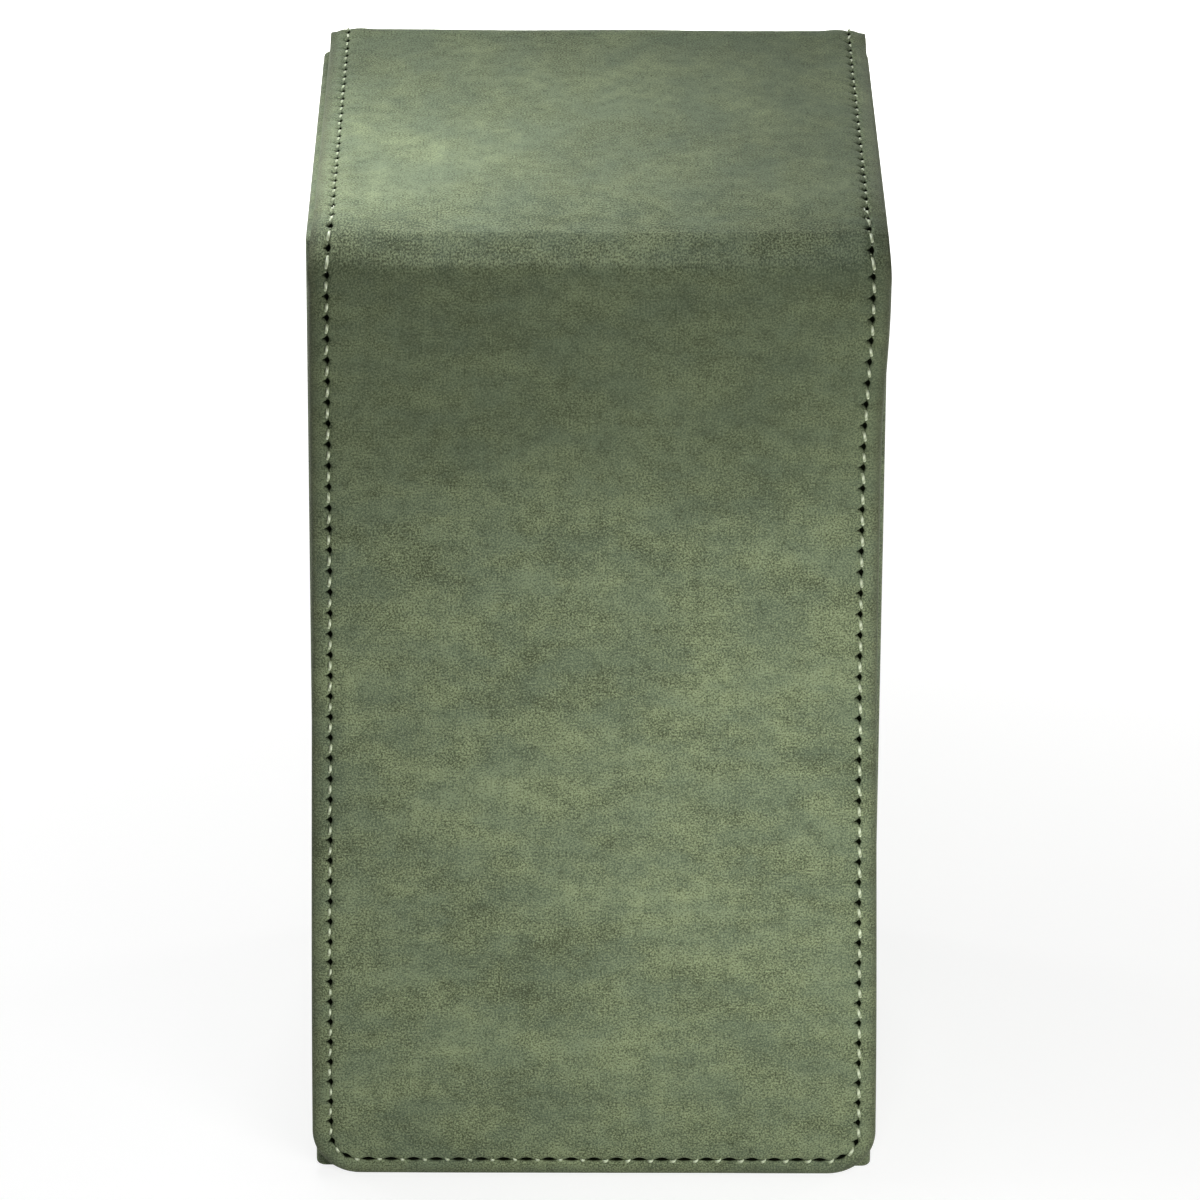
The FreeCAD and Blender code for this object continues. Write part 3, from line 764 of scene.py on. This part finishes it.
def suede_leatherette(name, on_sheet, painted_shade):
    """Brushed polyurethane leatherette with a suede hand: matt and a little velvety, with a nap of 0.25 mm
    tufts, broken dark creases round 0.6 mm pebbles, and cloudy brush marks. On the strip its colour has
    painted shade in the holes, the thread's shadow, below the folds and on the rolled edge; painted_shade
    covers a whole piece."""
    material, tree = new_material(name)
    if on_sheet:
        place = add(tree, "UVMap", {}, uv_map="sheet")
        lay = add(tree, "Attribute", {}, output="Fac", attribute_name="lay")
        brushed = add(tree, "CombineXYZ", {"X": add(tree, "SeparateXYZ", {0: place}), "Y": lay})
    else:
        place = add(tree, "TexCoord", {}, output="Object")
        brushed = add(tree, "Mapping", {"Vector": place, "Scale": (1.0, 1.9, 1.9)})
    cloud = noise(tree, brushed, 26.0, 3.0, 0.75)
    blotch = noise(tree, place, 2.4, 1.5, 0.9)
    tufts = noise(tree, place, 0.24, 1.0, 0.8)
    hue = noise(tree, brushed, 9.0, 3.0, 0.6)
    wander = noise(tree, place, 0.9, 1.0, output="Color")
    bent = add(tree, "VectorMath", {0: wander, 1: (0.0005,) * 3, 2: place}, operation="MULTIPLY_ADD")
    pebble = add(tree, "TexVoronoi", {"Vector": bent, "Scale": per_mm(0.6)}, feature="DISTANCE_TO_EDGE")

    tone = calculate(tree, "MULTIPLY_ADD", cloud, 1.25, -1.85)
    tone = calculate(tree, "MULTIPLY_ADD", blotch, 0.45, tone)
    tone = calculate(tree, "MULTIPLY_ADD", tufts, 3.0, tone)
    nap = mix(tree, tone, linear("#454D37"), linear("#95A27B"))
    grey = ramp(tree, hue, 0.4, 0.62, 0.0, 0.36)
    nap = mix(tree, grey, nap, linear("#627260"))
    crease = ramp(tree, pebble, 0.1, 0.0)
    broken = ramp(tree, blotch, 0.6, 0.4, 0.0, 0.6)
    crease = calculate(tree, "MULTIPLY", crease, broken)
    nap = mix(tree, crease, nap, linear("#39422D"))
    # Painted shade over a whole piece: the carton's walls as if in the cover's shadow
    nap = mix(tree, painted_shade, nap, linear("#343B2B"))
    if on_sheet:
        # Painted shade below each fold
        painted_fold_shade = add(tree, "Attribute", {}, output="Fac", attribute_name="painted_fold_shade")
        fold_shade_share = calculate(tree, "MULTIPLY", painted_fold_shade, 0.4)
        nap = mix(tree, fold_shade_share, nap, linear("#434C35"))
        # Painted shade on the rolled edge
        rim = add(tree, "Attribute", {}, output="Fac", attribute_name="rim")
        rolled = calculate(tree, "MULTIPLY", rim, 0.5)
        nap = mix(tree, rolled, nap, linear("#464637"))
        # Painted shade in the needle holes and the thread's shadow: the colour blends to a near black diffuse
        needle = add(tree, "Attribute", {}, output="Fac", attribute_name="needle")
        ragged = calculate(tree, "MULTIPLY_ADD", tufts, 0.5, -0.25)
        seam_shade = calculate(tree, "ADD", needle, ragged)
        seam_shade = ramp(tree, seam_shade, 0.3, 0.75)
    relief = calculate(tree, "MULTIPLY_ADD", blotch, 1.5, tufts)
    relief = calculate(tree, "MULTIPLY_ADD", crease, -0.5, relief)
    normal = add(tree, "Bump", {"Height": relief, "Strength": 0.5, "Distance": 0.1 * MM})
    shader = add(tree, "BsdfPrincipled", {
        "Base Color": nap, "Roughness": 0.86, "IOR": 1.5, "Specular IOR Level": 0.3, "Normal": normal,
        "Sheen Weight": 0.3, "Sheen Roughness": 0.45, "Sheen Tint": linear("#C3CDB4"),
    })
    if on_sheet:
        # Near black diffuse that stands in for the shade in the needle holes and the thread's shadow
        hole = add(tree, "BsdfDiffuse", {"Color": linear("#0C0F08")})
        shader = add(tree, "MixShader", {0: seam_shade, 1: shader, 2: hole})
    finish_surface(tree, shader)
    return material


def polyester_thread(name):
    """Twisted polyester sewing thread: pale and faintly glossy, with the twist's slanting ply lines 0.69 mm
    apart. The wave texture repeats after 2 pi / 20 of its scale's length."""
    material, tree = new_material(name)
    place = add(tree, "UVMap", {}, uv_map="sheet")
    twist = add(tree, "Mapping", {"Vector": place, "Rotation": (0.0, 0.0, 0.7)})
    ply = add(tree, "TexWave", {"Vector": twist, "Scale": per_mm(2.1875), "Distortion": 0.6})
    colour = mix(tree, ply, linear("#A5B08A"), linear("#E4EDCF"))
    normal = add(tree, "Bump", {"Height": ply, "Strength": 0.5, "Distance": 0.05 * MM})
    shader = add(tree, "BsdfPrincipled", {
        "Base Color": colour, "Roughness": 0.5, "IOR": 1.55, "Specular IOR Level": 0.5, "Normal": normal,
        "Sheen Weight": 0.2, "Sheen Roughness": 0.4,
    })
    finish_surface(tree, shader)
    return material


def microfibre(name, on_sheet):
    """Brushed microfibre lining: dark olive, velvety at a glancing look, with a lint of 0.25 mm fibres."""
    material, tree = new_material(name)
    if on_sheet:
        place = add(tree, "UVMap", {}, uv_map="sheet")
    else:
        place = add(tree, "TexCoord", {}, output="Object")
    lint = noise(tree, place, 0.25, 3.0, 0.7)
    stroke = add(tree, "TexNoise", {"Vector": place, "Scale": per_mm(14.0), "Detail": 3.0, "Distortion": 1.2})
    tone = ramp(tree, stroke, 0.35, 0.65)
    colour = mix(tree, tone, linear("#5A614E"), linear("#6B735C"))
    fibre = ramp(tree, lint, 0.35, 0.7, 0.0, 0.4)
    colour = mix(tree, fibre, colour, linear("#858E74"))
    normal = add(tree, "Bump", {"Height": lint, "Strength": 0.6, "Distance": 0.06 * MM})
    shader = add(tree, "BsdfPrincipled", {
        "Base Color": colour, "Roughness": 0.95, "IOR": 1.5, "Specular IOR Level": 0.2, "Normal": normal,
        "Sheen Weight": 0.6, "Sheen Roughness": 0.35, "Sheen Tint": linear("#A9B39A"),
    })
    finish_surface(tree, shader)
    return material


def grey_board(name):
    """Bookbinder's grey board, pressed from recycled pulp: dull mottled grey with dark flecks of 0.3 mm."""
    material, tree = new_material(name)
    place = add(tree, "TexCoord", {}, output="Object")
    pulp = noise(tree, place, 0.6, 4.0, 0.7)
    fleck = add(tree, "TexVoronoi", {"Vector": place, "Scale": per_mm(1.6)})
    colour = mix(tree, pulp, linear("#8D887E"), linear("#B7B2A6"))
    dark = ramp(tree, fleck, 0.12, 0.02, 0.0, 0.6)
    colour = mix(tree, dark, colour, linear("#5F5A52"))
    normal = add(tree, "Bump", {"Height": pulp, "Strength": 0.4, "Distance": 0.08 * MM})
    shader = add(tree, "BsdfPrincipled", {
        "Base Color": colour, "Roughness": 0.9, "IOR": 1.45, "Normal": normal,
    })
    finish_surface(tree, shader)
    return material


def nickel_plating(name):
    """Nickel-plated magnet: a warm grey mirror dulled by tumbling, with fine marks of 0.3 mm."""
    material, tree = new_material(name)
    place = add(tree, "TexCoord", {}, output="Object")
    marks = noise(tree, place, 0.3, 3.0)
    haze = ramp(tree, marks, 0.0, 1.0, 0.22, 0.38)
    tint = mix(tree, marks, linear("#B9B3A8"), linear("#D0CBC2"))
    normal = add(tree, "Bump", {"Height": marks, "Strength": 0.2, "Distance": 0.02 * MM})
    shader = add(tree, "BsdfPrincipled", {
        "Base Color": tint, "Metallic": 1.0, "Roughness": haze, "Normal": normal,
    })
    finish_surface(tree, shader)
    return material


def seen_directly(tree):
    """1 for camera, mirror and see-through rays, 0 for the rays that light the object."""
    rays = tree.nodes.new("ShaderNodeLightPath").outputs
    seen = calculate(tree, "MAXIMUM", rays["Is Camera Ray"], rays["Is Glossy Ray"])
    return calculate(tree, "MAXIMUM", seen, rays["Is Transmission Ray"])


def studio_paper(name):
    """Matt white paper sweep: to the eye nearly white with the box's soft shadow and painted shade where its
    glow dims near the box, for light a pale grey.
    """
    material, tree = new_material(name)
    paper = add(tree, "BsdfDiffuse", {"Color": linear("#D9D9D6"), "Roughness": 0.5})
    shade = add(tree, "BsdfDiffuse", {"Color": linear("#A0A09F")})
    place = add(tree, "TexCoord", {}, output="Object")
    away = add(tree, "VectorMath", {0: place}, output="Value", operation="LENGTH")
    # Painted shade round the box: the glow is dimmer within 0.35 m of the sweep's centre
    level = ramp(tree, away, 0.05, 0.35, 0.8, 1.0)
    glow = add(tree, "Emission", {"Color": linear("#FFFFFF"), "Strength": level})
    bright = add(tree, "AddShader", {0: shade, 1: glow})
    shader = add(tree, "MixShader", {0: seen_directly(tree), 1: paper, 2: bright})
    finish_surface(tree, shader)
    return material


leather_on_sheet = suede_leatherette("brushed_suede_leatherette_strip", True, 0.0)
# The carton's leather carries painted shade, as if in the cover's shadow
leather = suede_leatherette("brushed_suede_leatherette_carton", False, 0.22)
thread = polyester_thread("twisted_polyester_thread")
cloth_on_sheet = microfibre("brushed_microfibre_strip", True)
cloth = microfibre("brushed_microfibre_well", False)
board = grey_board("pressed_grey_board")
nickel = nickel_plating("tumbled_nickel_plating")
paper = studio_paper("matt_white_paper")


# ---- The pieces ----

ON_PANELS = (SKIN, SKIN_IN_FOLD, SKIN)
ON_WALL = (SKIN, SKIN_IN_FOLD, SKIN_ON_WALL)


def over_front_fold(piece, slot, *nodes):
    """Bakes a piece's placement into its mesh, and lets it stand for its CAD nodes."""
    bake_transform(piece)
    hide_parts(*nodes)


def over_rear_fold(piece, slot, *nodes):
    """Bakes a piece's placement into its mesh, and lets it stand for its CAD nodes."""
    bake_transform(piece)
    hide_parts(*nodes)


front_skin = cover_skin("cover_front_skin", FRONT_WAY, -JOIN, ON_PANELS, leather_on_sheet)
over_front_fold(front_skin, "suede_leatherette", "lid_leather", "front_fold_leather", "flap_leather")

rear_skin = cover_skin("cover_rear_skin", REAR_WAY, JOIN, ON_WALL, leather_on_sheet)
over_rear_fold(rear_skin, "suede_leatherette", "rear_fold_leather", "rear_panel_leather")

front_lining = cover_lining("cover_front_lining", FRONT_WAY, -JOIN, cloth_on_sheet)
over_front_fold(front_lining, "microfibre_lining", "lid_lining", "front_fold_lining", "flap_lining")

rear_lining = fold_lining("cover_rear_lining", cloth_on_sheet)
over_rear_fold(rear_lining, "microfibre_lining", "rear_fold_lining")

front_seam = seam("cover_front_seam", FRONT_WAY, -JOIN_HOLE, OUTER, FACE_LOFT, thread)
over_front_fold(front_seam, "sewing_thread", "lid_stitches", "front_fold_stitches", "flap_stitches")

rear_seam = seam("cover_rear_seam", REAR_WAY, JOIN_HOLE, OUTER, FACE_LOFT, thread)
over_rear_fold(rear_seam, "sewing_thread", "rear_fold_stitches", "rear_panel_stitches")

inner_seam = seam("cover_inner_seam", FRONT_WAY, -JOIN_HOLE, INNER, INNER_LOFT, thread)
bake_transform(inner_seam)

walls = carton_skin("carton_skin", leather)
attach(walls, "box")
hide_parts("box_leather")

inside = well_lining("carton_well_lining", cloth)
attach(inside, "box")
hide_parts("front_lining", "rear_lining", "left_lining", "right_lining", "floor_lining")

cad_finishes = {
    leather: ("base_leather",),
    board: (
        "front_board", "rear_board", "left_board", "right_board", "base_board",
        "rear_panel_board", "lid_board", "flap_board",
    ),
    nickel: ("box_magnets", "flap_magnets"),
}
for finish, nodes in cad_finishes.items():
    for node in nodes:
        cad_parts[node].data.materials.clear()
        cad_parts[node].data.materials.append(finish)


# ---- Studio ----

centre = (Vector(cad_corners[0]) + Vector(cad_corners[1])) / 2


def paper_floor(bowl):
    """Level sheet under the box, in metres. Past its level radii it rises as a quarter of a large bowl, so
    that no horizon shows."""
    level_radii = (0.02, 0.2, 0.5, 1.0, 1.6)
    climb = np.linspace(0.1, 1.0, 14) * QUARTER
    radius = np.append(level_radii, level_radii[-1] + np.sin(climb) * bowl)
    height = np.append(np.zeros(len(level_radii)), (1 - np.cos(climb)) * bowl)
    turn = np.linspace(0.0, 2 * math.pi, 65)[:-1]
    x, y = radius[:, None] * np.cos(turn), radius[:, None] * np.sin(turn)
    z = np.broadcast_to(height[:, None], x.shape)
    index = np.arange(x.size).reshape(x.shape)
    ring = np.concatenate([index, index[:, :1]], axis=1)
    points = np.stack([x, y, z], axis=-1).reshape(-1, 3) / MM
    return make_piece("paper_sweep", points, list(grid_quads(ring)) + [index[0]], paper)


paper_floor(2.0)

world = bpy.data.worlds.new("studio")
bpy.context.scene.world = world
world.use_nodes = True
sky = world.node_tree
sky.nodes.clear()
ambient = add(sky, "Background", {"Color": linear("#FFFFFF"), "Strength": 0.04})
white = add(sky, "Background", {"Color": linear("#FFFFFF"), "Strength": 1.0})
add(sky, "OutputWorld", {"Surface": add(sky, "MixShader", {0: seen_directly(sky), 1: ambient, 2: white})})


def softbox(name, place, aim, size, level, tint):
    """A square lamp; level is how bright it makes a white surface that faces it at the aim point."""
    lamp = bpy.data.lights.new(name, "AREA")
    lamp.shape = "SQUARE"
    lamp.size = size * MM
    away = (Vector(place) - Vector(aim)) * MM
    lamp.energy = level * math.pi**2 * away.length_squared
    lamp.color = linear(tint)[:3]
    stand = bpy.data.objects.new(name, lamp)
    stand.location = Vector(place) * MM
    stand.rotation_euler = away.to_track_quat("Z", "Y").to_euler()
    stand.visible_camera = False
    bpy.context.scene.collection.objects.link(stand)


softbox("key_above_left", (-46.0, -21.0, 199.0), (0.0, -10.0, 130.0), 40.0, 1.5, "#F7F7FF")
softbox("front_right", (40.0, -148.0, 52.0), (0.0, -38.0, 60.0), 66.0, 0.84, "#FFFFFF")
softbox("front_above", (60.0, -620.0, 330.0), (0.0, -38.0, 90.0), 260.0, 0.12, "#FFFFFF")
softbox("behind", (0.0, 450.0, 62.0), (0.0, 38.0, 62.0), 120.0, 0.7, "#FFFFFF")
softbox("rear_left", (-400.0, 230.0, 62.0), (-35.0, 0.0, 62.0), 120.0, 0.45, "#FFFFFF")
softbox("rear_right", (400.0, 230.0, 62.0), (35.0, 0.0, 62.0), 120.0, 0.45, "#FFFFFF")

# The camera looks down at the flap from a little to the left of straight ahead.
elevation, yaw, roll = math.radians(22.89), math.radians(0.28), math.radians(0.27)
reach = 939.0 * MM
aim = centre + Vector((0.67, 0.0, -1.02)) * MM
level = math.cos(elevation)
forward = Vector((math.sin(yaw) * level, math.cos(yaw) * level, -math.sin(elevation)))
right = Vector((math.cos(yaw), -math.sin(yaw), 0.0))
up = right.cross(forward)
turned_right = right * math.cos(roll) + up * math.sin(roll)
turned_up = up * math.cos(roll) - right * math.sin(roll)
lens = bpy.data.cameras.new("camera")
lens.lens = 216.6
lens.sensor_width = 36.0
lens.clip_start, lens.clip_end = 0.05, 20.0
camera = bpy.data.objects.new("camera", lens)
facing = Matrix((turned_right, turned_up, -forward)).transposed().to_4x4()
camera.matrix_world = Matrix.Translation(aim - forward * reach) @ facing
bpy.context.scene.collection.objects.link(camera)
bpy.context.scene.camera = camera
bpy.context.scene.view_settings.view_transform = "Standard"
